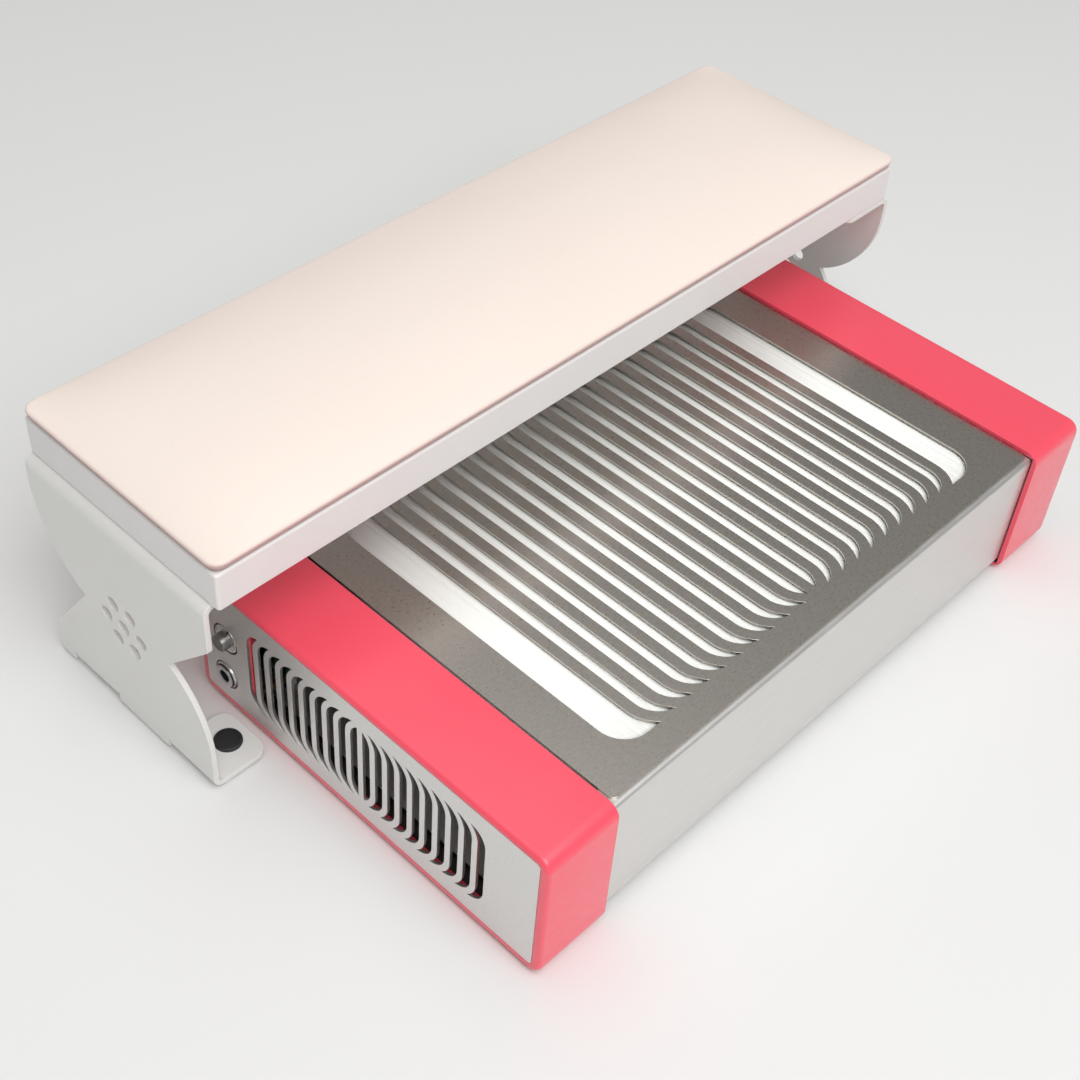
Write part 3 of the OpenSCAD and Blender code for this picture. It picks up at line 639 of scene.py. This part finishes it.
def turned(name, profile, centre, body, slot, stands_for=(), look=None, sides=72, knurled=(), hollow=False):
    """A solid turned about the X axis through centre.

    profile is x and radius from one end to the other, or all round the section of a hollow ring. Its rings
    listed in knurled are toothed.
    """
    tooth = 0.035
    vertices, faces = [], []
    for ring, (x, radius) in enumerate(profile):
        for side in range(sides):
            angle = 2 * math.pi * side / sides
            reach = radius * (1 - tooth * (side % 2)) if ring in knurled else radius
            vertices.append((x, centre.y + reach * math.cos(angle), centre.z + reach * math.sin(angle)))
    rings = len(profile)
    for ring in range(rings if hollow else rings - 1):
        a, b = ring * sides, (ring + 1) % rings * sides
        for side in range(sides):
            follow = (side + 1) % sides
            faces.append((a + side, b + side, b + follow, a + follow))
    if not hollow:
        faces.append(tuple(range(sides)))
        faces.append(tuple(reversed(range((rings - 1) * sides, rings * sides))))
    piece = new_piece(name, vertices, faces, body, slot, stands_for, look)
    outward = bmesh.new()
    outward.from_mesh(piece.data)
    bmesh.ops.recalc_face_normals(outward, faces=outward.faces)
    outward.to_mesh(piece.data)
    outward.free()
    piece.data.set_sharp_from_angle(angle=math.radians(40))


def make_knob():
    """Speed knob: a bright knurled skirt with a black mark, and a darker cap that stands out of it."""
    low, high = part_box("speed_knob")
    centre = (low + high) / 2
    back = high.x

    def out(*steps):
        return [(back - x * MM, r * MM) for x, r in steps]

    # millimetres out from the knob's back, and radius
    skirt = out((0, 6.2), (0, 6.6), (0.3, 6.9), (1.5, 6.9), (1.9, 6.6), (2.1, 6.2), (2.2, 5.0), (2.2, 4.2))
    turned("knob_skirt", skirt, centre, "knob", "knob_metal", ["speed_knob"], sides=96, knurled=(2, 3))
    cap = out((0.1, 3.9), (2.3, 3.9), (2.5, 4.0), (5.6, 3.95), (6, 3.7), (6.2, 3.3), (6.2, 2.6), (6.05, 2.2))
    turned("knob_cap", cap, centre, "knob", "knob_metal", look="dark_knob_metal", knurled=(2, 3))
    tilt = math.radians(20)
    outline = []
    for across, reach in ((-0.45, 4.3), (0.45, 4.3), (0.45, 6.5), (-0.45, 6.5)):
        y = centre.y + (math.cos(tilt) * across - math.sin(tilt) * reach) * MM
        z = centre.z + (math.sin(tilt) * across + math.cos(tilt) * reach) * MM
        outline.append((y, z))
    vertices, faces = extruded(outline, 0, back - 2.3 * MM, back - 1.7 * MM)
    mark = new_piece("knob_mark", vertices, faces, "knob", "black_plastic")
    mark.data.shade_flat()
    soften(mark, 0.08 * MM)


def make_jack_nut():
    """Ring nut of the power jack, knurled and with a chamfered face, and the jack's bright bezel in it."""
    low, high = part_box("jack_nut")
    centre = (low + high) / 2
    rim = high.z - centre.z
    bore = 5.47 * MM
    section = (
        (high.x, bore), (high.x, rim - 0.3 * MM), (high.x - 0.3 * MM, rim), (low.x + 0.6 * MM, rim),
        (low.x, rim - 0.6 * MM), (low.x, bore + 0.4 * MM), (low.x + 0.4 * MM, bore),
    )
    turned(
        "jack_ring_nut", section, centre, "collector", "zinc_steel", ["jack_nut"],
        sides=90, knurled=(2, 3), hollow=True,
    )
    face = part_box("dc_jack")[0].x
    steps = ((0, 3.0), (0, 5.2), (0.25, 5.2), (0.35, 5.0), (0.35, 3.4), (0.2, 3.0))
    ring = [(face - x * MM, r * MM) for x, r in steps]
    turned("jack_bezel", ring, centre, "collector", "zinc_steel", sides=72, hollow=True)


def make_foot_plugs():
    """Rubber plugs of the bracket tabs, with a rolled rim and a shallow dish on top."""
    skin = closed_skin("foot_plugs")
    top = max(v.co.z for v in skin.verts)
    head = [f for f in skin.faces if f.normal.z > 0.8 and f.calc_center_median().z > top - 2.5 * MM]
    bmesh.ops.inset_region(skin, faces=head, thickness=1.2 * MM, depth=0)
    for vertex in {v for f in head for v in f.verts}:
        vertex.co.z -= 0.5 * MM
    piece = piece_from(skin, "foot_plugs", "rubber_plugs", "black_rubber")
    soften(piece, 0.15 * MM, sharp=50)


# ---------- stage ----------

def make_floor():
    """A wide sheet of pale paper."""
    half = 4.0
    corners = [(-half, -half, 0), (half, -half, 0), (half, half, 0), (-half, half, 0)]
    mesh = bpy.data.meshes.new("floor")
    mesh.from_pydata(corners, [], [(0, 1, 2, 3)])
    floor = bpy.data.objects.new("floor", mesh)
    bpy.context.scene.collection.objects.link(floor)
    finish = Finish("floor_paper", (0.80, 0.80, 0.795), 0.6, specular=0.3)
    finish.tint(finish.clouds(0.4, detail=2.0), (0.79, 0.79, 0.785), (0.81, 0.81, 0.805))
    mesh.materials.append(finish.material)


def make_sky():
    """Soft room light: bright overhead, a darker band above mid height, and paler towards the horizon."""
    world = bpy.data.worlds.new("studio")
    bpy.context.scene.world = world
    world.use_nodes = True
    tree = world.node_tree
    direction = tree.nodes.new("ShaderNodeTexCoord").outputs["Generated"]
    height = tree.nodes.new("ShaderNodeSeparateXYZ")
    tree.links.new(direction, height.inputs[0])
    ramp = tree.nodes.new("ShaderNodeValToRGB")
    tree.links.new(height.outputs["Z"], ramp.inputs[0])
    stops = ((0.0, 0.42), (0.25, 0.35), (0.50, 0.27), (0.68, 0.24), (0.82, 0.55), (1.0, 0.68))
    while len(ramp.color_ramp.elements) < len(stops):
        ramp.color_ramp.elements.new(0.5)
    for element, (position, level) in zip(ramp.color_ramp.elements, stops):
        element.position = position
        element.color = (level, level * 0.995, level * 0.985, 1)
    tree.links.new(ramp.outputs[0], tree.nodes["Background"].inputs["Color"])
    tree.nodes["Background"].inputs["Strength"].default_value = 1.0


def make_lamp(name, place, size, power):
    """A square softbox that faces the object's middle."""
    aim = Vector((0, 0, 0.05))
    data = bpy.data.lights.new(name, "AREA")
    data.shape = "SQUARE"
    data.size = size
    data.energy = power
    lamp = bpy.data.objects.new(name, data)
    bpy.context.scene.collection.objects.link(lamp)
    lamp.location = place
    lamp.rotation_mode = "QUATERNION"
    lamp.rotation_quaternion = (aim - Vector(place)).to_track_quat("-Z", "Y")


# ---------- the scene ----------

SLOTS = {name: slot_of(name) for name in frame["nodes"]}
for packed in list(bpy.data.materials):
    bpy.data.materials.remove(packed)
finishes = make_finishes()
make_camera()

for name, node in frame["nodes"].items():
    node.material_slots[0].material = finishes[SLOTS[name]]

make_cushion()
for name, edge_round in (
    ("rest_board", 0.3 * MM),
    ("left_bracket", 0.35 * MM),
    ("right_bracket", 0.35 * MM),
    ("case_channel", 0.2 * MM),
    ("grille_lid", 0.16 * MM),
    ("left_end_plate", 0.14 * MM),
    ("right_end_plate", 0.14 * MM),
):
    dress(name, edge_round)
dress_cap("left_cap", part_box("left_cap")[0].x)
dress_cap("right_cap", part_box("right_cap")[1].x)
make_filter_paper()
make_knob()
make_jack_nut()
make_foot_plugs()

make_floor()
make_sky()
make_lamp("key", (-0.4, -1.1, 1.7), 1.4, 28)
make_lamp("top", (0.0, 0.1, 1.9), 1.6, 6)
bpy.context.scene.view_settings.view_transform = "Standard"
